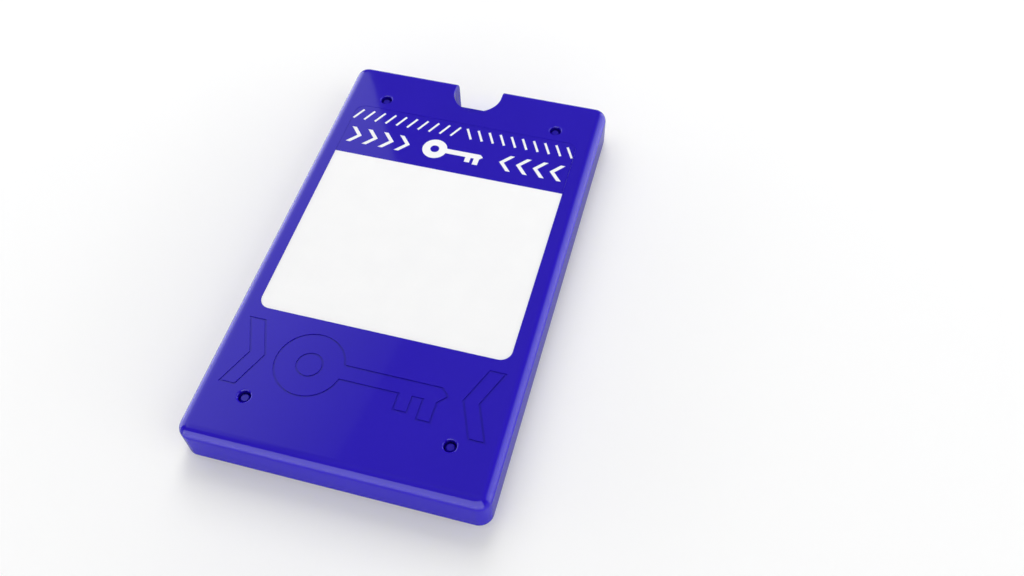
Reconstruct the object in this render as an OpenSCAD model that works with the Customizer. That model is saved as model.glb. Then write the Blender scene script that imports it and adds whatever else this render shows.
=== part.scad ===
// Flat key box that is broken open in an emergency.
// A back cover lies inside the wall of a front shell. Four posts of the cover reach up into
// stepped holes of the shell, four pins driven in from the back lock the halves together,
// and two keys lie between them.
// The box lies on its back: width along X, length along Y with the notched end at +Y,
// thickness along Z, and the origin in the middle of the back face.

/* [Box] */
// Width across the front face
box_w = 76.2; // [72:0.1:100]
// Length from the plain end to the notched end
box_l = 127; // [105:0.5:170]
// Thickness of the closed box
box_t = 11; // [10:0.1:14]
// Side wall where the back cover lies inside it
rim_t = 2; // [1.6:0.1:2.6]
// Extra wall above the back cover, which makes the ledge that it meets
ledge_t = 1; // [0.8:0.1:1.4]
// Front face
skin_t = 1.8; // [1.4:0.1:2.2]
// Radius of the upright corners
corner_r = 3.5; // [3.1:0.1:6]
// Radius of the rounded edge round the front face
edge_r = 3; // [1:0.1:3]

/* [Back cover] */
// Thickness of the cover plate
cover_t = 2.6; // [2:0.1:3]
// Gap between the cover and the wall round it
cover_gap = 0.15; // [0.1:0.05:0.3]
// Distance of the groove from the outside of the box
groove_in = 4; // [3.5:0.1:6]
// Width of the groove
groove_w = 0.5; // [0.3:0.1:0.8]
// Depth of the groove
groove_d = 0.4; // [0.2:0.1:0.8]
// Height of the locating lip above the plate
lip_h = 1.4; // [1:0.1:2]
// Thickness of the locating lip
lip_t = 1; // [0.8:0.1:1.4]

/* [Notch] */
// Radius of the half-round end of the notch
notch_r = 7; // [5:0.1:9]
// Distance of its centre from the notched end of the box
notch_in = 4; // [3:0.1:8]
// Wall that closes the notch towards the inside
notch_wall = 1.6; // [1.2:0.1:2.2]

/* [Posts] */
// Distance of each post from the two outsides of the box beside it
post_in = 12.7; // [10:0.1:13]
// Diameter of a post
post_d = 2.4; // [2:0.1:2.5]
// Diameter of the open end of its hole in the front face
post_hole_d = 3; // [2.8:0.1:3.6]
// Radius of the rounded rim of that hole
post_round = 0.6; // [0.3:0.05:0.7]
// Depth of the shoulder below the front face
post_shoulder = 3.2; // [2.6:0.1:3.6]
// Depth of the post's tip below the front face
post_tip = 0.9; // [0.8:0.1:1.6]

/* [Drive pins] */
// Distance of a pin from its post, towards the middle of the width
pin_off_x = 1.25; // [0:0.05:2]
// Distance of a pin from its post, towards the middle of the length
pin_off_y = 4.25; // [4:0.05:4.7]
// Diameter over the barbs of a pin
pin_d = 1.8; // [1.6:0.1:2]
// Diameter of the recess for the head
pin_head_d = 2.6; // [2.4:0.1:3]
// Depth of that recess
pin_recess = 1; // [0.8:0.1:1.4]

/* [Labels] */
// Distance of the front label from the sides of the box
front_label_side = 5.35; // [4:0.05:12]
// Distance of the front label from the notched end
front_label_in = 16.5; // [16:0.1:18]
// Length of the front label
front_label_l = 73.2; // [50:0.1:74]
// Distance of the back label from the sides of the box
back_label_side = 9.5; // [8:0.1:16]
// Distance of the back label from the notched end
back_label_in = 23; // [21.5:0.1:30]
// Length of the back label
back_label_l = 42.5; // [30:0.1:50]
// Thickness of both labels
label_t = 0.2; // [0.15:0.05:0.3]
// Depth that a label lies below the face round it
label_sunk = 0.1; // [0.05:0.05:0.2]

/* [Keys] */
// Length of a key
key_l = 56; // [46:0.5:57]
// Thickness of the metal
key_t = 2; // [1.8:0.1:2.4]
// Width of the blade
blade_w = 8; // [7:0.1:9]
// Radius of the moulded head
head_r = 11.5; // [10:0.1:12]
// Thickness of the moulded head
head_t = 4.4; // [4:0.1:4.8]
// Radius of the plain bow of the second key
bow_r = 11; // [9:0.1:11.5]
// Radius of the hole in a key for a ring
ring_hole_r = 3; // [2:0.1:3.5]
// Distance of the first key from the plain end of the box
key_in = 31.5; // [31:0.5:36]
// Distance between the two keys
key_pitch = 17; // [16:0.5:20]

/* [Hidden] */
$fn = 64;

// Colours
blue = [0.18, 0.11, 0.68];
white = [0.95, 0.95, 0.95];
black = [0.05, 0.05, 0.05];
nickel = [0.72, 0.70, 0.66];

// Cuts run this far past a face
over = 1;
// Pieces that are moulded in one run this far into each other
root = 0.2;

// Inside of the shell
wall_t = rim_t + ledge_t;
inner_w = box_w - 2 * wall_t;
inner_l = box_l - 2 * wall_t;
inner_top = box_t - skin_t;
least_r = 0.5;
inner_r = max(corner_r - wall_t, least_r);
ledge_gap = 0.1;
ledge_z = cover_t + ledge_gap;
// Bosses and walls of the shell stop this far above the cover plate
boss_gap = 0.15;
boss_z = cover_t + boss_gap;

// Back cover
cover_in = rim_t + cover_gap;
cover_w = box_w - 2 * cover_in;
cover_l = box_l - 2 * cover_in;
cover_r = corner_r - cover_in;
lip_gap = 0.2;
lip_w = inner_w - 2 * lip_gap;
lip_l = inner_l - 2 * lip_gap;
lip_r = inner_r;

// Notch
notch_y = box_l / 2 - notch_in;

// Posts and their stepped holes
post_x = box_w / 2 - post_in;
post_y = box_l / 2 - post_in;
post_clear = 0.05;
post_boss_r = 2.7;
shoulder_z = box_t - post_shoulder;
tip_z = box_t - post_tip;
tip_bevel = 0.35;
// The rounded rim breaks off this much before it would run level into the face
round_cut = 0.03;

// Pins and their holes
pin_x = post_x - pin_off_x;
pin_y = post_y - pin_off_y;
pin_clear = 0.05;
pin_boss_r = 2.1;
pin_head_t = 0.65;
pin_head_r = pin_head_d / 2 - pin_clear;
pin_dome_r = 2.5;
barb_step = 0.13;
pin_core_r = pin_d / 2 - barb_step;
pin_short = 1.4;
pin_top = inner_top - pin_short;
bore_past = 0.4;
pin_bore_top = pin_top + bore_past;
pin_point_l = 0.7;
pin_point_r = 0.2;
barb_l = 0.65;
barb_pitch = 0.9;
barb_z = cover_t + 1;
dimple_r = 0.4;
dimple_d = 0.3;

// Ribs and gussets of the shell
rib_t = 1;
rib_h = 1;
ribs_along = 3;
ribs_across = 4;
rib_end = 8.5;
rib_reach = pin_y - rib_end;
gusset_gap = 0.4;
gusset_z = cover_t + lip_h + gusset_gap;

// Labels
label_d = label_t + label_sunk;
front_label_w = box_w - 2 * front_label_side;
front_label_r = 3;
back_label_w = box_w - 2 * back_label_side;
back_label_r = 4;
front_label_y = box_l / 2 - front_label_in - front_label_l / 2;
back_label_y = box_l / 2 - back_label_in - back_label_l / 2;

// Keys
key_gap = 0.1;
key_z = cover_t + key_gap;
key_y = -box_l / 2 + key_in;
spare_y = key_y + key_pitch;
shoulder_w = 11;
shoulder_l = 2.5;
tip_flat = 2.6;
cut_pitch = 3.9;
cut_from = 6;
cut_flat = 1.2;
cuts = [1.4, 2.6, 1.0, 2.2, 1.8];
key_groove_w = 1.4;
key_groove_d = 0.6;

// Moulded head of the first key, and the tang inside it
neck_l = 1.2;
neck_w = 13;
head_step = 0.5;
head_hole_x = 5.5;
tang_w = 9;
tang_l = 12;
tang_gap = 0.05;
tang_z = (head_t - key_t) / 2;

// Plate with rounded upright corners, centred in X and Y
module plate(w, l, t, r) {
    translate([-w / 2 + r, -l / 2, 0]) cube([w - 2 * r, l, t]);
    translate([-w / 2, -l / 2 + r, 0]) cube([w, l - 2 * r, t]);
    for (x = [-1, 1], y = [-1, 1])
        translate([x * (w / 2 - r), y * (l / 2 - r), 0]) cylinder(h = t, r = r);
}

// Ring of even width between two plates
module frame(w, l, t, r, band) {
    difference() {
        plate(w, l, t, r);
        translate([0, 0, -over])
            plate(w - 2 * band, l - 2 * band, t + 2 * over, max(r - band, least_r));
    }
}

// Block with upright corners of radius r and a rounded upper edge of radius e
module rounded_block(w, l, t, r, e) {
    plate(w, l, t - e, r);
    plate(w - 2 * e, l - 2 * e, t, r - e);
    for (s = [-1, 1]) {
        translate([s * (w / 2 - e), -l / 2 + r, t - e])
            rotate([-90, 0, 0]) cylinder(h = l - 2 * r, r = e);
        translate([-w / 2 + r, s * (l / 2 - e), t - e])
            rotate([0, 90, 0]) cylinder(h = w - 2 * r, r = e);
    }
    for (x = [-1, 1], y = [-1, 1])
        translate([x * (w / 2 - r), y * (l / 2 - r), 0])
            rotate_extrude() intersection() {
                union() {
                    square([r, t - e]);
                    translate([r - e, t - e]) circle(r = e);
                }
                square([r, t]);
            }
}

// One copy of the children in each quarter of the box
module at_corners(x, y) {
    for (sx = [-1, 1], sy = [-1, 1])
        translate([sx * x, sy * y, 0]) children();
}

// Half-round notch, open towards +Y, widened all round by grow
module notch(grow, z, h) {
    translate([0, notch_y, z]) cylinder(h = h, r = notch_r + grow);
    translate([-notch_r - grow, notch_y, z])
        cube([2 * (notch_r + grow), notch_in + over, h]);
}

// Wall round the notch, which ends inside the end wall of the shell
module notch_surround() {
    h = inner_top - boss_z + root;
    intersection() {
        notch(notch_wall, boss_z, h);
        translate([-box_w / 2, 0, boss_z]) cube([box_w, box_l / 2 - rim_t, h]);
    }
}

// Stepped hole for a post: narrow below, wide above the shoulder, rounded at the face
module post_hole() {
    hole_r = post_hole_d / 2;
    rim_r = hole_r + post_round;
    translate([0, 0, boss_z - over])
        cylinder(h = shoulder_z - boss_z + 2 * over, r = post_d / 2 + post_clear);
    translate([0, 0, shoulder_z]) cylinder(h = post_shoulder + over, r = hole_r);
    translate([0, 0, box_t - post_round + round_cut])
        rotate_extrude() difference() {
            square([rim_r, post_round + over]);
            translate([rim_r, 0]) circle(r = post_round, $fn = 32);
        }
}

// Post with a bevelled tip
module post() {
    translate([0, 0, cover_t - root])
        cylinder(h = tip_z - tip_bevel - cover_t + root, d = post_d);
    translate([0, 0, tip_z - tip_bevel])
        cylinder(h = tip_bevel, d1 = post_d, d2 = post_d - 2 * tip_bevel);
}

// Gussets that tie the boss of the post at +X +Y to the two walls beside it
module gussets() {
    reach = post_in - wall_t + root;
    h = inner_top - gusset_z + root;
    translate([post_x, post_y - rib_t / 2, gusset_z]) cube([reach, rib_t, h]);
    translate([post_x - rib_t / 2, post_y, gusset_z]) cube([rib_t, reach, h]);
}

// Grid of low ribs under the front face
module ribs() {
    z = inner_top - rib_h;
    pitch_x = inner_w / (ribs_along + 1);
    pitch_y = 2 * rib_reach / (ribs_across - 1);
    for (i = [1 : ribs_along])
        translate([-inner_w / 2 + i * pitch_x - rib_t / 2, -rib_reach, z])
            cube([rib_t, 2 * rib_reach, rib_h + root]);
    for (i = [0 : ribs_across - 1])
        translate([-inner_w / 2 - root, -rib_reach + i * pitch_y - rib_t / 2, z])
            cube([inner_w + 2 * root, rib_t, rib_h + root]);
}

// Deep tray with the notch, the stepped post holes, the pin bores and the label recess
module front_shell() color(blue) {
    difference() {
        union() {
            difference() {
                rounded_block(box_w, box_l, box_t, corner_r, edge_r);
                translate([0, 0, -over])
                    plate(box_w - 2 * rim_t, box_l - 2 * rim_t, ledge_z + over, corner_r - rim_t);
                translate([0, 0, -over]) plate(inner_w, inner_l, inner_top + over, inner_r);
            }
            notch_surround();
            at_corners(post_x, post_y)
                translate([0, 0, boss_z]) cylinder(h = inner_top - boss_z + root, r = post_boss_r);
            at_corners(pin_x, pin_y)
                translate([0, 0, boss_z]) cylinder(h = inner_top - boss_z + root, r = pin_boss_r);
            for (sx = [0, 1], sy = [0, 1])
                mirror([sx, 0, 0]) mirror([0, sy, 0]) gussets();
            ribs();
        }
        notch(0, -over, box_t + 2 * over);
        at_corners(post_x, post_y) post_hole();
        at_corners(pin_x, pin_y)
            translate([0, 0, boss_z - over])
                cylinder(h = pin_bore_top - boss_z + over, r = pin_d / 2 + pin_clear);
        translate([0, front_label_y, box_t - label_d])
            plate(front_label_w, front_label_l, label_d + over, front_label_r);
    }
}

// Plate with its groove, pin holes and label recess, the locating lip and the posts
module back_cover() color(blue) {
    difference() {
        plate(cover_w, cover_l, cover_t, cover_r);
        translate([0, 0, -over])
            frame(box_w - 2 * groove_in, box_l - 2 * groove_in, groove_d + over, groove_w * 2, groove_w);
        translate([0, back_label_y, -over])
            plate(back_label_w, back_label_l, label_d + over, back_label_r);
        at_corners(pin_x, pin_y) {
            translate([0, 0, -over]) cylinder(h = cover_t + 2 * over, r = pin_d / 2 + pin_clear);
            translate([0, 0, -over]) cylinder(h = pin_recess + over, d = pin_head_d);
        }
    }
    difference() {
        translate([0, 0, cover_t - root]) frame(lip_w, lip_l, lip_h + root, lip_r, lip_t);
        notch(notch_wall + lip_gap, 0, box_t);
    }
    at_corners(post_x, post_y) post();
}

// Domed head, round core, barbs that point towards the head, and a pointed tip
module drive_pin() {
    head_z = pin_recess - pin_head_t;
    barbs = floor((pin_top - pin_point_l - barb_z) / barb_pitch);
    difference() {
        intersection() {
            translate([0, 0, head_z]) cylinder(h = pin_head_t, r = pin_head_r);
            translate([0, 0, head_z + pin_dome_r]) sphere(r = pin_dome_r);
        }
        translate([0, 0, head_z - over]) cylinder(h = dimple_d + over, r = dimple_r);
    }
    translate([0, 0, pin_recess - root])
        cylinder(h = pin_top - pin_point_l - pin_recess + root, r = pin_core_r);
    translate([0, 0, pin_top - pin_point_l])
        cylinder(h = pin_point_l, r1 = pin_core_r, r2 = pin_point_r);
    for (i = [0 : barbs - 1])
        translate([0, 0, barb_z + i * barb_pitch])
            cylinder(h = barb_l, r1 = pin_d / 2, r2 = pin_core_r);
}

module drive_pins() color(black)
    at_corners(pin_x, pin_y) drive_pin();

// Sheets that lie in the recesses of the front and the back
module front_label() color(white)
    translate([0, front_label_y, box_t - label_d])
        plate(front_label_w, front_label_l, label_t, front_label_r);

module back_label() color(white)
    translate([0, back_label_y, label_sunk])
        plate(back_label_w, back_label_l, label_t, back_label_r);

// Shoulder and blade along +X from x = 0, with a pointed tip, bitting cuts along one edge
// and a groove in each side
module blade(length) {
    half = blade_w / 2;
    tip_x = length - half;
    translate([0, -shoulder_w / 2, 0]) cube([shoulder_l, shoulder_w, key_t]);
    difference() {
        linear_extrude(key_t) polygon([
            [shoulder_l - root, -half], [tip_x, -half], [length, -tip_flat / 2],
            [length, tip_flat / 2], [tip_x, half], [shoulder_l - root, half],
        ]);
        for (i = [0 : len(cuts) - 1])
            translate([shoulder_l + cut_from + i * cut_pitch, half - cuts[i], -over])
                linear_extrude(key_t + 2 * over) polygon([
                    [-cut_flat / 2, 0], [cut_flat / 2, 0],
                    [cut_flat / 2 + cuts[i] + over, cuts[i] + over],
                    [-cut_flat / 2 - cuts[i] - over, cuts[i] + over],
                ]);
        translate([shoulder_l, -half / 2 - key_groove_w / 2, key_t - key_groove_d])
            cube([length, key_groove_w, key_groove_d + over]);
        translate([shoulder_l, -half / 2 + key_groove_w / 2, -over])
            cube([length, key_groove_w, key_groove_d + over]);
    }
}

// Metal of the first key: the blade, and a tang that the head is moulded round
module key_blade() color(nickel)
    translate([-key_l / 2 + 2 * head_r + neck_l, key_y, key_z + tang_z]) {
        blade(key_l - 2 * head_r - neck_l);
        translate([-tang_l, -tang_w / 2, 0]) cube([tang_l + root, tang_w, key_t]);
    }

// Moulded head of the first key, stepped in at both faces, with a hole for a ring
module key_head() color(black)
    translate([-key_l / 2 + head_r, key_y, key_z])
        difference() {
            union() {
                cylinder(h = head_t, r = head_r - head_step);
                translate([0, 0, head_step]) {
                    cylinder(h = head_t - 2 * head_step, r = head_r);
                    translate([0, -neck_w / 2, 0])
                        cube([head_r + neck_l, neck_w, head_t - 2 * head_step]);
                }
            }
            translate([-head_hole_x, 0, -over]) cylinder(h = head_t + 2 * over, r = ring_hole_r);
            translate([
                head_r + neck_l - tang_l - tang_gap,
                -tang_w / 2 - tang_gap,
                tang_z - tang_gap,
            ])
                cube([tang_l + over + tang_gap, tang_w + 2 * tang_gap, key_t + 2 * tang_gap]);
        }

// Second key, all metal, which lies head to tail with the first
module spare_key() color(nickel)
    translate([key_l / 2 - bow_r, spare_y, key_z]) rotate([0, 0, 180]) {
        difference() {
            union() {
                cylinder(h = key_t, r = bow_r);
                translate([0, -shoulder_w / 2, 0]) cube([bow_r + root, shoulder_w, key_t]);
            }
            translate([-head_hole_x, 0, -over]) cylinder(h = key_t + 2 * over, r = ring_hole_r);
        }
        translate([bow_r, 0, 0]) blade(key_l - 2 * bow_r);
    }

back_cover();
back_label();
drive_pins();
front_shell();
front_label();
key_blade();
key_head();
spare_key();
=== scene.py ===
import math
import bmesh
import bpy
from mathutils import Matrix, Vector


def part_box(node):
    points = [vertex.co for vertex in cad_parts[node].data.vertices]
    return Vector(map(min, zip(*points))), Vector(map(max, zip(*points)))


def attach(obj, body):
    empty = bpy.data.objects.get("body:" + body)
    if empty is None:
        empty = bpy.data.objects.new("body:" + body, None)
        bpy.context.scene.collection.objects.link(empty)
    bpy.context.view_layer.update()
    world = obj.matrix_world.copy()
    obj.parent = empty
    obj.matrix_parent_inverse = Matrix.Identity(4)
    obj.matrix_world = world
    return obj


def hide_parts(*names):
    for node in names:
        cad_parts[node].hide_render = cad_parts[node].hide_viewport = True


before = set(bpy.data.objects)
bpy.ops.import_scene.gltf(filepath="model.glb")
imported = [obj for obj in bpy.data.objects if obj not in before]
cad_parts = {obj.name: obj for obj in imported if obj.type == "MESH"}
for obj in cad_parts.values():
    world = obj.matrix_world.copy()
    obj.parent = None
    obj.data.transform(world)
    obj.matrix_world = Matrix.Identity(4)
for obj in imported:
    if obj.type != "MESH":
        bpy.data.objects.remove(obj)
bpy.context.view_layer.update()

# Front shell. Deep tray injection moulded in glossy blue plastic, with a round edge, a thumb
# notch, four stepped holes and a key motif sunk by the mould. Bosses, gussets and ribs stand
# inside it. It slips over the posts of the cover, and the drive pins end in it.
MM = 0.001


def spans(node):
    """Where a CAD part starts and ends along X, Y and Z, in millimetres."""
    return [(round(low / MM, 3), round(high / MM, 3)) for low, high in zip(*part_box(node))]


def size_of(node):
    """Width, length and height of a CAD part, in millimetres."""
    return [round(high - low, 3) for low, high in spans(node)]


BOX_W, BOX_L, BOX_T = size_of("front_shell")
CORNER_R, EDGE_R, BACK_R = 3.5, 3.0, 0.15
RIM_T, LEDGE_T, LEDGE_Z, INNER_TOP = 2.0, 1.0, 2.7, 9.2
POST_IN, PIN_IN_X, PIN_IN_Y = 12.7, 1.25, 4.25
POST_X, POST_Y = BOX_W / 2 - POST_IN, BOX_L / 2 - POST_IN
PIN_X, PIN_Y = POST_X - PIN_IN_X, POST_Y - PIN_IN_Y
# How far a cutting tool stands out of the plastic, and how far a welded part runs into it
OVER, ROOT = 1.0, 0.2


def clear():
    """Nothing is selected."""
    bpy.ops.object.select_all(action="DESELECT")


def hold(piece):
    """Only this piece is selected, and it is the active one."""
    clear()
    piece.select_set(True)
    bpy.context.view_layer.objects.active = piece
    return piece


def settle(name):
    """The new primitive gets its name, and its place goes into its mesh."""
    piece = bpy.context.active_object
    piece.name = piece.data.name = name
    bpy.ops.object.transform_apply(location=True, rotation=True, scale=True)
    return piece


def block(name, w, l, z0, z1, x=0.0, y=0.0, turn=0.0):
    """A block, in millimetres, from z0 to z1."""
    clear()
    bpy.ops.mesh.primitive_cube_add(
        size=1, location=(x * MM, y * MM, (z0 + z1) / 2 * MM),
        rotation=(0, 0, math.radians(turn)), scale=(w * MM, l * MM, (z1 - z0) * MM))
    return settle(name)


def rod(name, x, y, z0, z1, r0, r1=None, sides=64):
    """A round of radius r0 at z0 and r1 at z1, in millimetres."""
    clear()
    bpy.ops.mesh.primitive_cone_add(
        vertices=sides, radius1=r0 * MM, radius2=(r0 if r1 is None else r1) * MM,
        depth=(z1 - z0) * MM, location=(x * MM, y * MM, (z0 + z1) / 2 * MM))
    return settle(name)


def join(name, parts):
    """Several pieces become one mesh."""
    clear()
    for part in parts:
        part.select_set(True)
    bpy.context.view_layer.objects.active = parts[0]
    bpy.ops.object.join()
    parts[0].name = parts[0].data.name = name
    return parts[0]


def four(name, x, y, make):
    """One copy in each quarter of the box, as one mesh."""
    return join(name, [make(east * x, north * y) for east in (-1, 1) for north in (-1, 1)])


def edit(piece, kind, test):
    """Opens a piece and selects the faces or edges that pass the test."""
    hold(piece)
    bpy.ops.object.mode_set(mode="EDIT")
    bpy.ops.mesh.select_mode(type=kind)
    bpy.ops.mesh.select_all(action="DESELECT")
    mesh = bmesh.from_edit_mesh(piece.data)
    for item in (mesh.faces if kind == "FACE" else mesh.edges):
        item.select_set(bool(test(item)))
    mesh.select_flush_mode()
    bmesh.update_edit_mesh(piece.data)


def close():
    """Leaves edit mode."""
    bpy.ops.object.mode_set(mode="OBJECT")


def everything(item):
    """A test that each face or edge passes."""
    return True


def near(a, b, gap=0.01):
    """True where two lengths in millimetres agree."""
    return abs(a - b) < gap


def corners(item):
    """The corners of an edge or face, in millimetres."""
    return [v.co / MM for v in item.verts]


def upright(edge):
    """True for an edge that stands straight up."""
    a, b = corners(edge)
    return near(a.x, b.x) and near(a.y, b.y)


def level(z):
    """A test for edges or faces that lie at one height."""
    return lambda item: all(near(c.z, z) for c in corners(item))


def soften(piece, test, width, steps):
    """Rounds the edges that pass the test."""
    edit(piece, "EDGE", test)
    bpy.ops.mesh.bevel(offset=width * MM, segments=steps, profile=0.5, affect="EDGES",
                       clamp_overlap=False)
    close()


def inset(width):
    """Draws the selected faces in by an even width."""
    bpy.ops.mesh.inset(thickness=width * MM, use_even_offset=True)


def raise_by(height):
    """Pulls the selected faces up."""
    bpy.ops.mesh.extrude_region_move(TRANSFORM_OT_translate={"value": (0, 0, height * MM)})


def face_out():
    """Turns all faces outwards and leaves edit mode."""
    bpy.ops.mesh.select_all(action="SELECT")
    bpy.ops.mesh.normals_make_consistent(inside=False)
    close()


def apply(piece, kind, **settings):
    """Adds a modifier with its settings and applies it."""
    hold(piece)
    modifier = piece.modifiers.new(kind.lower(), kind)
    for key, value in settings.items():
        setattr(modifier, key, value)
    bpy.ops.object.modifier_apply(modifier=modifier.name)


def cut(piece, tool, how="DIFFERENCE"):
    """Cuts a tool out of a piece and throws the tool away."""
    apply(piece, "BOOLEAN", operation=how, object=tool, solver="EXACT")
    bpy.data.objects.remove(tool)


def weld(piece, part):
    """Makes a part one with a piece."""
    cut(piece, part, "UNION")


def finish_mesh(piece, angle=30):
    """Doubles merged, faces outward, smooth except at corners."""
    edit(piece, "FACE", everything)
    bpy.ops.mesh.remove_doubles(threshold=0.002 * MM)
    face_out()
    hold(piece)
    bpy.ops.object.shade_smooth_by_angle(angle=math.radians(angle))
    apply(piece, "WEIGHTED_NORMAL", mode="FACE_AREA", weight=100, keep_sharp=True)


def drawn(name, points, edges=(), faces=()):
    """A new piece from points in millimetres."""
    mesh = bpy.data.meshes.new(name)
    mesh.from_pydata([[c * MM for c in point] for point in points], edges, faces)
    piece = bpy.data.objects.new(name, mesh)
    bpy.context.scene.collection.objects.link(piece)
    return piece


def outline(name, points, z):
    """A single face with this outline at one height, open for editing."""
    piece = drawn(name, [(x, y, z) for x, y in points], faces=[tuple(range(len(points)))])
    edit(piece, "FACE", everything)
    return piece


def plate(name, points, z0, z1):
    """A flat piece with this outline, from z0 to z1."""
    piece = outline(name, points, z0)
    raise_by(z1 - z0)
    face_out()
    return piece


def groove(name, points, width, z0, z1):
    """A band of even width along the inside of a closed outline, from z0 to z1."""
    piece = outline(name, points, z0)
    inset(width)
    bpy.ops.mesh.delete(type="FACE")
    bpy.ops.mesh.select_all(action="SELECT")
    raise_by(z1 - z0)
    face_out()
    return piece


def lathe(name, x, y, profile, steps=64):
    """A round spun from its half section, which is given as radius and height."""
    piece = drawn(name, [(x + r, y, z) for r, z in profile],
                  edges=[(i, i + 1) for i in range(len(profile) - 1)])
    edit(piece, "EDGE", everything)
    bpy.ops.mesh.spin(steps=steps, angle=math.tau, center=(x * MM, y * MM, 0), axis=(0, 0, 1))
    bpy.ops.mesh.select_all(action="SELECT")
    bpy.ops.mesh.remove_doubles(threshold=0.0005 * MM)
    face_out()
    return piece


def arc(x, y, r, a0, a1, steps):
    """Points along an arc, angles in degrees."""
    turns = [math.radians(a0 + (a1 - a0) * i / steps) for i in range(steps + 1)]
    return [(x + r * math.cos(a), y + r * math.sin(a)) for a in turns]


def ring(x, y, r, steps=64):
    """Points round a full circle."""
    return arc(x, y, r, 0, 360, steps)[:-1]


def rounded(x, y, w, l, r, steps=10):
    """Outline of a rectangle with rounded corners."""
    return [p for east, north, a in ((1, 1, 0), (-1, 1, 90), (-1, -1, 180), (1, -1, 270))
            for p in arc(x + east * (w / 2 - r), y + north * (l / 2 - r), r, a, a + 90, steps)]


shell = block("shell_moulding", BOX_W, BOX_L, 0, BOX_T)
soften(shell, upright, CORNER_R, steps=14)
soften(shell, level(BOX_T), EDGE_R, steps=14)
soften(shell, level(0), BACK_R, steps=2)
edit(shell, "FACE", level(0))
inset(RIM_T - BACK_R)
raise_by(LEDGE_Z)
inset(LEDGE_T)
raise_by(INNER_TOP - LEDGE_Z)
close()

# Wall round the notch, bosses, gussets and ribs, which run a little way into the face
NOTCH_R, NOTCH_IN, NOTCH_RIM_R, NOTCH_WALL, NOTCH_WALL_IN = 7.0, 4.0, 0.18, 1.6, 1.5
NOTCH_Y = BOX_L / 2 - NOTCH_IN
BOSS_Z, POST_BOSS_R, PIN_BOSS_R = 2.75, 2.7, 2.1
GUSSET_L, GUSSET_T, GUSSET_Z = 9.9, 1.0, 4.4
RIB_T, RIB_H, RIB_PITCH, RIB_IN, RIB_FROM_PIN = 1.0, 1.0, 17.55, 2.8, 8.5
RIB_END = PIN_Y - RIB_FROM_PIN


def notch_tool(name, grow, z0, z1, reach):
    """The half-round notch, open towards the end of the box."""
    r = NOTCH_R + grow
    return plate(name, arc(0, NOTCH_Y, r, 180, 360, steps=40) + [(r, reach), (-r, reach)], z0,
                 z1)


def boss(r):
    """A function that makes a boss of this radius at a place."""
    return lambda x, y: rod("boss", x, y, BOSS_Z, INNER_TOP + ROOT, r)


def gusset(w, l):
    """A function that makes a gusset of this width and length at a place."""
    return lambda x, y: block("gusset", w, l, GUSSET_Z, INNER_TOP + ROOT, x, y)


def rib(w, l, x, y):
    """A low rib under the face."""
    return block("rib", w, l, INNER_TOP - RIB_H, INNER_TOP + ROOT, x, y)


weld(shell, notch_tool("notch_wall", NOTCH_WALL, BOSS_Z, INNER_TOP + ROOT,
                       BOX_L / 2 - NOTCH_WALL_IN))
weld(shell, four("post_bosses", POST_X, POST_Y, boss(POST_BOSS_R)))
weld(shell, four("pin_bosses", PIN_X, PIN_Y, boss(PIN_BOSS_R)))
weld(shell, four("gussets_out", POST_X + GUSSET_L / 2, POST_Y, gusset(GUSSET_L, GUSSET_T)))
weld(shell, four("gussets_up", POST_X, POST_Y + GUSSET_L / 2, gusset(GUSSET_T, GUSSET_L)))
weld(shell, join("ribs_along", [rib(RIB_T, 2 * RIB_END, RIB_PITCH * i, 0) for i in (-1, 0, 1)]))
weld(shell, join("ribs_across", [rib(BOX_W - 2 * RIB_IN, RIB_T, 0, RIB_END * (i - 1.5) / 1.5)
                                 for i in range(4)]))

# Notch, stepped post holes with a round rim, pin bores and the recess for the label
HOLE_R, RIM_R, RIM_CUT, SHANK_R, SHOULDER_Z = 1.5, 0.6, 0.03, 1.25, 7.8
PIN_BORE_R, PIN_BORE_TOP, FEW_SIDES = 0.95, 8.2, 40
LABEL_W, LABEL_L = size_of("front_label")[:2]
LABEL_Y, LABEL_R = sum(spans("front_label")[1]) / 2, 3.0
LABEL_Z0, LABEL_Z1 = spans("front_label")[2]

cut(shell, notch_tool("notch_cut", 0, -OVER, BOX_T + OVER, BOX_L / 2 + 2 * OVER))
mouth = [(0, OVER), (SHANK_R, OVER), (SHANK_R, SHOULDER_Z), (HOLE_R, SHOULDER_Z)]
mouth += arc(HOLE_R + RIM_R, BOX_T - RIM_R + RIM_CUT, RIM_R, 180, 90, steps=9)
mouth += [(HOLE_R + RIM_R, BOX_T + OVER), (0, BOX_T + OVER)]
cut(shell, four("post_holes", POST_X, POST_Y, lambda x, y: lathe("hole", x, y, mouth)))
cut(shell, four("pin_bores", PIN_X, PIN_Y, lambda x, y: rod(
    "bore", x, y, OVER, PIN_BORE_TOP, PIN_BORE_R, sides=FEW_SIDES)))
cut(shell, plate("label_recess", rounded(0, LABEL_Y, LABEL_W, LABEL_L, LABEL_R), LABEL_Z0,
                 BOX_T + OVER))

# Sunk outline of a key between two arrow heads
BOW_X, BOW_R, BLADE_HALF, BLADE_END = -12, 8, 2, 18
TEETH = ((9, 12.5, -6), (14.5, BLADE_END, -7))
MOTIF_X, MOTIF_Y, MOTIF_SCALE, MOTIF_HOLE_R = -0.4, -39.0, 1.1, 3.4
CHEVRON_X, CHEVRON_W, CHEVRON_H, CHEVRON_STROKE = 29.0, 8.4, 19.0, 4.4
LINE_W, LINE_D = 0.45, 0.2


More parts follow.
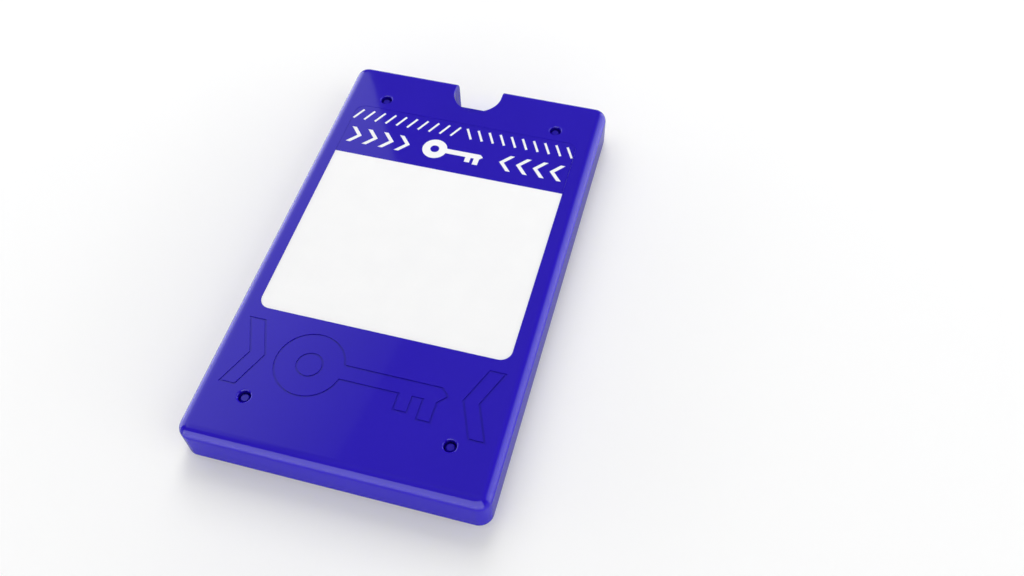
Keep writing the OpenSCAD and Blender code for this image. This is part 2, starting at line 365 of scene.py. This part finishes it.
def key_outline(x, y, scale):
    """A plain key with a round bow at its left and two teeth."""
    bow = math.degrees(math.asin(BLADE_HALF / BOW_R))
    shape = arc(BOW_X, 0, BOW_R, bow, 360 - bow, steps=48)
    for start, end, depth in TEETH:
        shape += [(start, -BLADE_HALF), (start, depth), (end, depth), (end, -BLADE_HALF)]
    shape += [(BLADE_END + BLADE_HALF, 0), (BLADE_END, BLADE_HALF)]
    return [(x + px * scale, y + py * scale) for px, py in shape]


def chevron(x, y, w, h, stroke, way):
    """An arrow head that points along +X, or along -X when way is -1."""
    shape = [(-w / 2, h / 2), (-w / 2 + stroke, h / 2), (w / 2, 0), (-w / 2 + stroke, -h / 2),
             (-w / 2, -h / 2), (w / 2 - stroke, 0)]
    shape = [(x + way * px, y + py) for px, py in shape]
    return shape if way > 0 else shape[::-1]


motif = [key_outline(MOTIF_X, MOTIF_Y, MOTIF_SCALE),
         ring(MOTIF_X + BOW_X * MOTIF_SCALE, MOTIF_Y, MOTIF_HOLE_R, steps=40)]
motif += [chevron(-way * CHEVRON_X, MOTIF_Y, CHEVRON_W, CHEVRON_H, CHEVRON_STROKE, way)
          for way in (1, -1)]
cut(shell, join("motif", [groove("line", points, LINE_W, BOX_T - LINE_D, BOX_T + OVER)
                          for points in motif]))

# Round marks of the ejector pins between the ribs
MARK_R, MARK_D, MARK_X, MARK_Y = 1.7, 0.1, 26.3, 25.4
cut(shell, join("ejector_marks", [
    rod("mark", MARK_X * side, MARK_Y * row, INNER_TOP - OVER / 2, INNER_TOP + MARK_D, MARK_R,
        sides=FEW_SIDES)
    for side in (-1, 1) for row in (-1, 0, 1)]))


def on_notch(corner):
    """True on the wall of the notch."""
    if corner.y < NOTCH_Y:
        return near(math.hypot(corner.x, corner.y - NOTCH_Y), NOTCH_R, 0.03)
    return near(abs(corner.x), NOTCH_R)


def notch_rim(edge):
    """True for the edge where the wall of the notch meets the front face or its round."""
    walls = [all(on_notch(v.co / MM) for v in f.verts) for f in edge.link_faces]
    return (sum(walls) == 1 and all(on_notch(c) for c in corners(edge))
            and min(c.z for c in corners(edge)) > BOX_T - EDGE_R and not upright(edge))


soften(shell, notch_rim, NOTCH_RIM_R, steps=3)
finish_mesh(shell)


class Wire:
    """A socket of a shader tree. Sums and products of wires add Math nodes."""

    def __init__(self, tree, socket=None):
        self.tree, self.socket = tree, socket

    def node(self, kind, settings=(), out=0, **links):
        """Adds a node. Settings come first, then the values or wires of its sockets."""
        made = self.tree.nodes.new("ShaderNode" + kind)
        for key, value in dict(settings).items():
            if key == "stops":
                ramp = made.color_ramp.elements
                while len(ramp) < len(value):
                    ramp.new(0.5)
                for stop, (place, colour) in zip(ramp, value):
                    stop.position, stop.color = place, colour
            else:
                setattr(made, key, value)
        for key, value in links.items():
            name = key.replace("_", " ")
            target = made.inputs[int(key[1:])] if key[1:].isdigit() else made.inputs[name]
            if isinstance(value, Wire):
                self.tree.links.new(value.socket, target)
            else:
                target.default_value = value
        return Wire(self.tree, made.outputs[out])

    def maths(self, operation, other):
        """A Math node on this wire and another wire or a number."""
        return self.node("Math", {"operation": operation}, i0=self, i1=other)

    def __add__(self, other):
        return self.maths("ADD", other)

    def __sub__(self, other):
        return self.maths("SUBTRACT", other)

    def __mul__(self, other):
        return self.maths("MULTIPLY", other)

    def __rsub__(self, other):
        return self * -1 + other

    __radd__, __rmul__ = __add__, __mul__


def finish_of(name):
    """A new material, with its tree and a wire to start from."""
    material = bpy.data.materials.new(name)
    material.use_nodes = True
    material.node_tree.nodes.clear()
    return material, Wire(material.node_tree)


def surface(owner, shader):
    """Gives a material or the world its shader."""
    kind = "World" if isinstance(owner, bpy.types.World) else "Material"
    out = owner.node_tree.nodes.new("ShaderNodeOutput" + kind)
    owner.node_tree.links.new(shader.socket, out.inputs["Surface"])
    return owner


def glossy_plastic(name, deep, pale):
    """Polished moulded plastic: faint flow clouds, pigment grains and an uneven polish."""
    material, wire = finish_of(name)
    here = wire.node("TexCoord", out="Object")
    clouds = wire.node("TexNoise", Vector=here, Scale=55.0, Detail=3.0)
    grains = wire.node("TexNoise", Vector=here, Scale=2600.0, Detail=1.0)
    rubbed = wire.node("TexNoise", Vector=here, Scale=240.0, Detail=4.0)
    colour = wire.node("ValToRGB", {"stops": [(0.3, (*deep, 1)), (0.7, (*pale, 1))]},
                       Fac=clouds * 0.7 + grains * 0.3)
    bump = wire.node("Bump", Strength=0.25, Distance=0.000002, Height=rubbed)
    return surface(material, wire.node(
        "BsdfPrincipled", Base_Color=colour, Roughness=rubbed * 0.03 + 0.035, IOR=1.5,
        Normal=bump))


blue_plastic = glossy_plastic("blue_gloss_plastic", deep=(0.0150, 0.0028, 0.415),
                              pale=(0.0168, 0.0034, 0.445))
shell.data.materials.append(blue_plastic)
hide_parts("front_shell")
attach(shell, "shell")

# Back cover. Flat plate moulded in the same plastic, which lies inside the wall of the shell.
# It has a groove all round, recesses for the pin heads and the label, and a locating lip. Its
# four posts show in the stepped holes of the front.
COVER_W, COVER_L, TIP_Z = size_of("back_cover")
COVER_T, COVER_R, COVER_EDGE_R = 2.6, 1.35, 0.12
LIP_GAP, LIP_T, LIP_TOP, LIP_R, LIP_R_IN = 0.2, 1.0, 4.0, 0.5, 0.3
LIP_W, LIP_L = [size - 2 * (RIM_T + LEDGE_T + LIP_GAP) for size in (BOX_W, BOX_L)]
POST_R, TIP_R, TIP_H = 1.2, 0.85, 0.35

cover = block("cover_moulding", COVER_W, COVER_L, 0, COVER_T)
soften(cover, upright, COVER_R, steps=8)
soften(cover, level(0), COVER_EDGE_R, steps=2)

lip = plate("lip", rounded(0, 0, LIP_W, LIP_L, LIP_R, steps=4), COVER_T - ROOT, LIP_TOP)
cut(lip, plate("lip_inside", rounded(0, 0, LIP_W - 2 * LIP_T, LIP_L - 2 * LIP_T, LIP_R_IN,
                                     steps=3), OVER, LIP_TOP + OVER))
cut(lip, notch_tool("lip_gap", NOTCH_WALL + LIP_GAP, OVER, LIP_TOP + OVER, BOX_L / 2))
weld(cover, lip)

posts = four("posts", POST_X, POST_Y, lambda x, y: rod(
    "post", x, y, COVER_T - ROOT, TIP_Z - TIP_H, POST_R))
weld(posts, four("tips", POST_X, POST_Y, lambda x, y: rod(
    "tip", x, y, TIP_Z - TIP_H, TIP_Z, POST_R, TIP_R)))
weld(cover, posts)

GROOVE_IN, GROOVE_W, GROOVE_D, GROOVE_R = 4.0, 0.5, 0.4, 1.0
PIN_RECESS_R, PIN_RECESS_D, PIN_HOLE_TOP = 1.3, 1.0, 3.5
BACK_LABEL_W, BACK_LABEL_L = size_of("back_label")[:2]
BACK_LABEL_Y, BACK_LABEL_R = sum(spans("back_label")[1]) / 2, 4.0
BACK_LABEL_Z0, BACK_LABEL_Z1 = spans("back_label")[2]

cut(cover, groove("edge_groove", rounded(0, 0, BOX_W - 2 * GROOVE_IN, BOX_L - 2 * GROOVE_IN,
                                         GROOVE_R, steps=6), GROOVE_W, -OVER, GROOVE_D))
cut(cover, four("pin_recesses", PIN_X, PIN_Y, lambda x, y: rod(
    "recess", x, y, -OVER, PIN_RECESS_D, PIN_RECESS_R)))
cut(cover, four("pin_holes", PIN_X, PIN_Y, lambda x, y: rod(
    "hole", x, y, PIN_RECESS_D / 2, PIN_HOLE_TOP, PIN_BORE_R, sides=FEW_SIDES)))
cut(cover, plate("back_recess", rounded(0, BACK_LABEL_Y, BACK_LABEL_W, BACK_LABEL_L,
                                        BACK_LABEL_R), -OVER, BACK_LABEL_Z1))

# Sunk frame with a ring, and in it a plate that snaps in two under two arrows
FRAME_Y, FRAME_LINE_W, FRAME_LINE_D = -27.8, 0.34, 0.25
FRAME_W, FRAME_L, FRAME_R, BAND_W, BAND_R, RING_R = 41, 40, 4, 1.3, 2.8, 16.2
HALF_X, HALF_DROP, HALF_TURN = 1.5, 3.6, 14
ARROW_X, ARROW_RISE = 8.2, 4.6
CORNER_X, CORNER_Y, CORNER_W, CORNER_H, CORNER_STROKE = 15.6, 15.1, 3.0, 3.6, 1.5


def swung(points, turn, x, y):
    """An outline turned about the origin, then moved."""
    c, s = math.cos(math.radians(turn)), math.sin(math.radians(turn))
    return [(x + px * c - py * s, y + px * s + py * c) for px, py in points]


half_plate = [(-10.6, 3.4), (-10.6, -3.4), (-1.0, -3.4), (0.6, -1.7), (-1.4, 0), (0.6, 1.7),
              (-1.0, 3.4)]
other_half = [(-x, y) for x, y in half_plate[::-1]]
arrow = [(-1.1, 2.6), (-1.1, 0), (-2.6, 0), (0, -3.2), (2.6, 0), (1.1, 0), (1.1, 2.6)]
back_motif = [rounded(0, FRAME_Y, FRAME_W, FRAME_L, FRAME_R),
              rounded(0, FRAME_Y, FRAME_W - 2 * BAND_W, FRAME_L - 2 * BAND_W, BAND_R),
              ring(0, FRAME_Y, RING_R, steps=72),
              swung(half_plate, HALF_TURN, -HALF_X, FRAME_Y - HALF_DROP),
              swung(other_half, -HALF_TURN, HALF_X, FRAME_Y - HALF_DROP)]
back_motif += [swung(arrow, 0, side * ARROW_X, FRAME_Y + ARROW_RISE) for side in (-1, 1)]
back_motif += [chevron(side * CORNER_X, FRAME_Y + end * CORNER_Y, CORNER_W, CORNER_H,
                       CORNER_STROKE, side) for end in (1, -1) for side in (-1, 1)]
cut(cover, join("back_motif", [groove("line", points, FRAME_LINE_W, -OVER, FRAME_LINE_D)
                               for points in back_motif]))

COVER_MARK_X, COVER_MARK_ROWS = 26.0, (-30, 12)
cut(cover, join("cover_marks", [
    rod("mark", COVER_MARK_X * side, y, COVER_T - MARK_D, COVER_T + OVER / 2, MARK_R,
        sides=FEW_SIDES)
    for side in (-1, 1) for y in COVER_MARK_ROWS]))
finish_mesh(cover)
cover.data.materials.append(blue_plastic)
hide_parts("back_cover")
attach(cover, "cover")

# Front label. Self-adhesive vinyl sheet in a shallow recess of the front face, white to write
# on. Its head is printed in the blue of the box, which leaves plain white signs bare.
SHEET_PLAY, SHEET_STEPS = 0.05, 12
INK_FROM, INK_TO, INK_IN = 28.4, LABEL_Y + LABEL_L / 2, 0.03
INK_Z0, INK_Z1 = LABEL_Z1 - 0.01, LABEL_Z1 + 0.03

label = plate("front_sheet", rounded(0, LABEL_Y, LABEL_W - SHEET_PLAY, LABEL_L - SHEET_PLAY,
                                     LABEL_R, SHEET_STEPS), LABEL_Z0, LABEL_Z1)
finish_mesh(label)

head = [(-LABEL_W / 2 + INK_IN, INK_FROM), (LABEL_W / 2 - INK_IN, INK_FROM)]
head += arc(LABEL_W / 2 - LABEL_R, INK_TO - LABEL_R, LABEL_R - INK_IN, 0, 90, SHEET_STEPS)
head += arc(-LABEL_W / 2 + LABEL_R, INK_TO - LABEL_R, LABEL_R - INK_IN, 90, 180, SHEET_STEPS)
ink = plate("front_ink", head, INK_Z0, INK_Z1)

STROKES_Y, STROKE_W, STROKE_L, STROKE_TURN = 43.5, 0.66, 4.3, 28
STROKE_X, STROKE_PITCH, STROKES = 2.0, 3.25, 10
SIGNS_Y, SIGN_W, SIGN_H, SIGN_STROKE = 35.4, 3.9, 5.8, 1.35
SIGN_X, SIGN_PITCH, SIGNS = 15.0, 4.8, 4
KEY_X, KEY_Y, KEY_SCALE, KEY_HOLE_R = -0.5, SIGNS_Y + 0.3, 0.44, 1.25
SIGN_Z0, SIGN_Z1 = BOX_T - OVER, BOX_T + OVER
signs = [block("stroke", STROKE_W, STROKE_L, SIGN_Z0, SIGN_Z1,
               side * (STROKE_X + STROKE_PITCH * i), STROKES_Y, side * STROKE_TURN)
         for side in (-1, 1) for i in range(STROKES)]
signs += [plate("sign", chevron(side * (SIGN_X + SIGN_PITCH * i), SIGNS_Y, SIGN_W, SIGN_H,
                                SIGN_STROKE, -side), SIGN_Z0, SIGN_Z1)
          for side in (-1, 1) for i in range(SIGNS)]
signs.append(plate("sign", key_outline(KEY_X, KEY_Y, KEY_SCALE), SIGN_Z0, SIGN_Z1))
cut(ink, join("signs", signs))
bow_dot = rod("bow", KEY_X + BOW_X * KEY_SCALE, KEY_Y, INK_Z0, INK_Z1, KEY_HOLE_R,
              sides=FEW_SIDES)
ink = join("front_ink", [ink, bow_dot])
finish_mesh(ink)


def printed_sheet(name, low, high, rough):
    """Vinyl: a very fine grain, faint mottling and a slightly uneven sheen."""
    material, wire = finish_of(name)
    here = wire.node("TexCoord", out="Object")
    mottle = wire.node("TexNoise", Vector=here, Scale=120.0, Detail=4.0)
    grain = wire.node("TexNoise", Vector=here, Scale=3200.0, Detail=2.0)
    colour = wire.node("ValToRGB", {"stops": [(0.3, (*low, 1)), (0.7, (*high, 1))]},
                       Fac=mottle * 0.6 + grain * 0.4)
    bump = wire.node("Bump", Strength=0.2, Distance=0.000004, Height=grain)
    return surface(material, wire.node(
        "BsdfPrincipled", Base_Color=colour, Roughness=mottle * 0.08 + rough, IOR=1.46,
        Normal=bump))


white_vinyl = printed_sheet("white_vinyl", low=(0.90, 0.90, 0.905), high=(0.93, 0.93, 0.93),
                            rough=0.38)
label.data.materials.append(white_vinyl)
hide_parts("front_label")
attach(label, "shell")
ink.data.materials.append(blue_plastic)
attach(ink, "shell")

# Back label. Plain white sheet of the same vinyl with rounded corners, stuck in the recess of
# the back cover.
back_label = plate("back_sheet", rounded(
    0, BACK_LABEL_Y, BACK_LABEL_W - SHEET_PLAY, BACK_LABEL_L - SHEET_PLAY, BACK_LABEL_R,
    SHEET_STEPS), BACK_LABEL_Z0, BACK_LABEL_Z1)
finish_mesh(back_label)
back_label.data.materials.append(white_vinyl)
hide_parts("back_label")
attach(back_label, "cover")


# Drive pins. Four black nylon pins with a domed head and barbs, pressed from the back through
# the cover and into the bosses of the shell.
def dull_plastic(name, low, high):
    """Matte moulded plastic with a spark-eroded grain."""
    material, wire = finish_of(name)
    here = wire.node("TexCoord", out="Object")
    grain = wire.node("TexNoise", Vector=here, Scale=4200.0, Detail=3.0)
    wear = wire.node("TexNoise", Vector=here, Scale=420.0, Detail=5.0)
    colour = wire.node("ValToRGB", {"stops": [(0.35, (*low, 1)), (0.7, (*high, 1))]}, Fac=wear)
    bump = wire.node("Bump", Strength=0.45, Distance=0.00002, Height=grain)
    return surface(material, wire.node(
        "BsdfPrincipled", Base_Color=colour, Roughness=wear * 0.2 + 0.38, IOR=1.5, Normal=bump))


def refined(node, name, width, angle=28):
    """A merged copy of a CAD part. A width breaks its sharp edges with a fine round."""
    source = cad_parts[node]
    piece = bpy.data.objects.new(name, source.data.copy())
    bpy.context.scene.collection.objects.link(piece)
    piece.data.materials.clear()
    edit(piece, "FACE", everything)
    bpy.ops.mesh.remove_doubles(threshold=0.001 * MM)
    bpy.ops.mesh.select_all(action="SELECT")
    bpy.ops.mesh.dissolve_limited(angle_limit=math.radians(0.5))
    close()
    if width:
        apply(piece, "BEVEL", width=width * MM, segments=2, limit_method="ANGLE",
              angle_limit=math.radians(35), use_clamp_overlap=True, harden_normals=False)
    finish_mesh(piece, angle)
    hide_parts(node)
    return piece


black_nylon = dull_plastic("black_nylon", low=(0.006, 0.006, 0.007),
                           high=(0.016, 0.016, 0.017))
pins = refined("drive_pins", "pins", width=0)
pins.data.materials.append(black_nylon)
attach(pins, "cover")


# First key. Nickel-plated brass blade with bitting cuts, and a black head moulded round its
# tang. It lies loose in the box.
def plated_metal(name, low, high):
    """Nickel plate with fine drawn lines along the key and a few duller patches."""
    material, wire = finish_of(name)
    here = wire.node("TexCoord", out="Object")
    along = wire.node("Mapping", Vector=here, Scale=(60.0, 2600.0, 2600.0))
    lines = wire.node("TexNoise", Vector=along, Scale=1.0, Detail=3.0)
    patches = wire.node("TexNoise", Vector=here, Scale=160.0, Detail=4.0)
    colour = wire.node("ValToRGB", {"stops": [(0.25, (*low, 1)), (0.75, (*high, 1))]},
                       Fac=lines * 0.4 + patches * 0.6)
    bump = wire.node("Bump", Strength=0.3, Distance=0.000006, Height=lines)
    return surface(material, wire.node(
        "BsdfPrincipled", Base_Color=colour, Metallic=1.0,
        Roughness=patches * 0.22 + lines * 0.1 + 0.12, Normal=bump))


nickel = plated_metal("nickel_plate", low=(0.60, 0.57, 0.51), high=(0.78, 0.76, 0.71))
blade = refined("key_blade", "key_metal", width=0.1)
blade.data.materials.append(nickel)
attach(blade, "key")
key_head = refined("key_head", "key_grip", width=0.3)
key_head.data.materials.append(black_nylon)
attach(key_head, "key")

# Second key. Stamped from one piece of brass with a plain round bow, cut like the first and
# nickel plated. It lies loose beside it.
second = refined("spare_key", "second_key_metal", width=0.12)
second.data.materials.append(nickel)
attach(second, "second_key")

# Studio. White table, a dim room with three bright panels for the gloss, a soft box whose
# cloth fades towards its far side, and two plain lamps. Close to the box the table's colour
# has a painted warm tint, which cancels the blue light that the box bounces onto it. The tint
# fades out by the notch.
FLOOR_SIZE, FLOOR_Z, FLOOR_GLOSS, FLOOR_ROUGH, FLOOR_GLOW = 12.0, -0.00005, 0.02, 0.15, 0.10
WHITE_FROM, WHITE_TO, SEEN_THROUGH = 0.35, 1.1, 0.5
# Painted warm tint on the table, which cancels the box's blue bounce light: how far it reaches,
# the round of the outline it is measured from, and the distances from the notch where it is off
# and where it is full
PAINTED_WARMTH_REACH, PAINTED_WARMTH_ROUND, PAINTED_WARMTH_OFF_TO, PAINTED_WARMTH_FULL_FROM = [
    size * MM for size in (5.5, 12, 0.4 * NOTCH_R, 2 * NOTCH_R)]
WHITE, PAPER, PAINTED_WARMTH = (1, 1, 1, 1), (0.90, 0.90, 0.90, 1), (0.90, 0.90, 0.70, 1)


def smooth(value, low, high):
    """Goes from 0 where the value is low to 1 where it is high."""
    return value.node("MapRange", {"interpolation_type": "SMOOTHSTEP"}, Value=value,
                      From_Min=low, From_Max=high)


def vector_maths(operation, wire, other=None, out="Vector"):
    """A Vector Math node on a wire, and on a fixed vector if there is one."""
    links = {} if other is None else {"i1": other}
    return wire.node("VectorMath", {"operation": operation}, out=out, i0=wire, **links)


clear()
bpy.ops.mesh.primitive_plane_add(size=FLOOR_SIZE, location=(0, 0, FLOOR_Z))
floor = settle("table_top")
white_table, wire = finish_of("white_table")
here = wire.node("TexCoord", out="Object")
to_notch = vector_maths("DISTANCE", here, (0, BOX_L / 2 * MM, 0), out="Value")
past_edge = vector_maths("SUBTRACT", vector_maths("ABSOLUTE", here), (
    BOX_W / 2 * MM - PAINTED_WARMTH_ROUND, BOX_L / 2 * MM - PAINTED_WARMTH_ROUND, 0))
past_edge = vector_maths("LENGTH", vector_maths("MAXIMUM", past_edge, (0, 0, 0)), out="Value")
# Painted warm tint: full at the box's edge, fading outward and off by the notch. It is mixed
# into the table's colour below.
painted_warmth_mask = wire.node("Math", {"operation": "EXPONENT"},
                   i0=(PAINTED_WARMTH_ROUND - past_edge) * (1 / PAINTED_WARMTH_REACH))
painted_warmth_mask = painted_warmth_mask.maths("MINIMUM", 1) * smooth(to_notch, PAINTED_WARMTH_OFF_TO, PAINTED_WARMTH_FULL_FROM)
paper_with_painted_warmth = wire.node("ValToRGB", {"stops": [(0, PAPER), (1, PAINTED_WARMTH)]}, Fac=painted_warmth_mask)
matt = wire.node("MixShader", Fac=FLOOR_GLOSS, i1=wire.node("BsdfDiffuse", Color=paper_with_painted_warmth),
                 i2=wire.node("BsdfGlossy", Color=WHITE, Roughness=FLOOR_ROUGH))
seen = wire.node("LightPath", out="Is Camera Ray")
matt = wire.node("AddShader", i0=matt,
                 i1=wire.node("Emission", Color=WHITE, Strength=seen * FLOOR_GLOW))
away = smooth(vector_maths("LENGTH", here, out="Value"), WHITE_FROM, WHITE_TO)
matt = wire.node("MixShader", Fac=away * seen, i1=matt,
                 i2=wire.node("Emission", Color=WHITE, Strength=1.0))
faint = wire.node("LightPath", out="Is Glossy Ray") * SEEN_THROUGH
floor.data.materials.append(surface(white_table, wire.node(
    "MixShader", Fac=faint, i1=matt, i2=wire.node("BsdfTransparent"))))

# The soft box has one corner here and lies inward from it, with its far side drawn out. Its
# cloth gets brighter inward and fades out towards the far side.
SOFT_CORNER, SOFT_R = Vector((-0.351, 0.782, 1.230)), 0.62
INWARD = Vector((-0.969, -0.207, -0.133)).normalized()
FAR_SIDE, DRAWN_ASIDE, DRAWN_IN = -0.1, 1.2, 0.5
FADE_ASIDE, FADE_IN, CORNER_SHINE, MOST_SHINE = 0.95, 2.2, 0.40, 1.2
facing = -SOFT_CORNER.normalized()
outward = (-INWARD - facing * facing.dot(-INWARD)).normalized()
aside = outward.cross(facing)
clear()
bpy.ops.mesh.primitive_circle_add(
    vertices=8, radius=SOFT_R, fill_type="NGON", location=SOFT_CORNER - outward * SOFT_R,
    rotation=Matrix((aside, outward, facing)).transposed().to_euler())
soft_box = settle("soft_box")
edit(soft_box, "EDGE",
     lambda edge: all((v.co - SOFT_CORNER).dot(aside) < FAR_SIDE for v in edge.verts))
bpy.ops.transform.translate(value=-aside * DRAWN_ASIDE - outward * DRAWN_IN)
close()
cloth, wire = finish_of("soft_box_cloth")
fade = aside * FADE_ASIDE - outward * FADE_IN
along_fade = vector_maths("DOT_PRODUCT", wire.node("TexCoord", out="Object"), fade, out="Value")
shine = (along_fade + (CORNER_SHINE - SOFT_CORNER.dot(fade))).maths("MINIMUM", MOST_SHINE)
soft_box.data.materials.append(surface(cloth, wire.node("Emission", Color=shine, Strength=1.0)))
soft_box.visible_camera = False


def lamp(name, at, size, power):
    """A square lamp that faces the box and doesn't show in reflections."""
    light = bpy.data.lights.new(name, "AREA")
    light.shape, light.size, light.energy = "SQUARE", size, power
    piece = bpy.data.objects.new(name, light)
    bpy.context.scene.collection.objects.link(piece)
    piece.location = at
    piece.rotation_euler = (-Vector(at)).to_track_quat("-Z", "Y").to_euler()
    piece.visible_glossy = False


lamp("top_lamp", at=(-0.45, 1.15, 1.3), size=1.2, power=22.5)
lamp("right_lamp", at=(1.45, -0.35, 0.85), size=1.4, power=7.5)

# Each panel has the two directions it stands between, the heights between which its top and
# its foot fade out, all in degrees, its brightness, and the slope of its top.
PANELS = (((-145, -39), (51.5, 48.5), (-38, -8), 2.25, 0.6),
          ((-5, 69), (45, 15), (-46, -10), 1.8, 0),
          ((130, 189), (40, 35), (-46, -10), 2.2, 0))
WALL_FOOT, WALL_TOP, WALL_DIMMED = 0.11, 0.34, 0.06
RING_ABOVE, RING_BELOW, ROOM_SHINE = 3.9, 0.8, 0.27
# The gloss sees what lies below the horizon through the table, so that is made brighter
BELOW_GAIN = 0.6

room = bpy.data.worlds.new("pale_room")
bpy.context.scene.world = room
room.use_nodes = True
room.node_tree.nodes.clear()
wire = Wire(room.node_tree)
way = wire.node("TexCoord", out="Generated")
east, north, height = [wire.node("SeparateXYZ", Vector=way, out=axis) for axis in "XYZ"]
rise = wire.node("Math", {"operation": "ARCSINE"}, i0=height) * math.degrees(1)


def panel(turn, top, foot, shine, tilt):
    """The brightness of one panel in each direction, and 0 beside it."""
    middle, half = math.radians(sum(turn) / 2), (turn[1] - turn[0]) / 2
    c, s = math.cos(middle), math.sin(middle)
    side = (north * c - east * s).maths("ARCTAN2", east * c + north * s) * math.degrees(1)
    inside = smooth(side, -half - 1, -half + 1) * smooth(side, half + 1, half - 1)
    inside = inside * smooth(rise, *top) * smooth(rise, *foot)
    return inside * smooth(rise - side * tilt, *top) * shine if tilt else inside * shine


mirrored = wire.node("MapRange", Value=rise, From_Min=20.0, From_Max=80.0, To_Min=WALL_FOOT,
                     To_Max=WALL_TOP)
mirrored = mirrored - smooth(rise, 0, -10) * WALL_DIMMED
for facts in PANELS:
    mirrored = mirrored.maths("MAXIMUM", panel(*facts))
mirrored = mirrored * (smooth(rise, 1, -1) * BELOW_GAIN + 1)
ring_light = smooth(rise, -2, 0) * RING_ABOVE + RING_BELOW
ring_light = smooth(rise, 16, 10) * ring_light + ROOM_SHINE
lit = wire.node("MixShader", Fac=wire.node("LightPath", out="Is Glossy Ray"),
                i1=wire.node("Background", Color=ring_light, Strength=1.0),
                i2=wire.node("Background", Color=mirrored, Strength=1.0))
surface(room, wire.node("MixShader", Fac=wire.node("LightPath", out="Is Camera Ray"), i1=lit,
                        i2=wire.node("Background", Color=WHITE, Strength=1.0)))
bpy.context.scene.view_settings.view_transform = "Standard"

# Camera. It looks down at the box from the front right, 55 degrees above the table. It is
# turned 16 degrees about the upright and leans over by a degree and a half.
LENS_MM, SENSOR_MM = 34.53, 36.0
EYE, TURN, PITCH, LEAN = (0.06768, -0.14169, 0.214), 16.323, 35.04, -1.519
lens = bpy.data.cameras.new("camera")
lens.lens, lens.sensor_width = LENS_MM, SENSOR_MM
camera = bpy.data.objects.new("camera", lens)
bpy.context.scene.collection.objects.link(camera)
aim = Matrix.Translation(EYE)
for angle, axis in ((TURN, "Z"), (PITCH, "X"), (LEAN, "Z")):
    aim = aim @ Matrix.Rotation(math.radians(angle), 4, axis)
camera.matrix_world = aim
bpy.context.scene.camera = camera
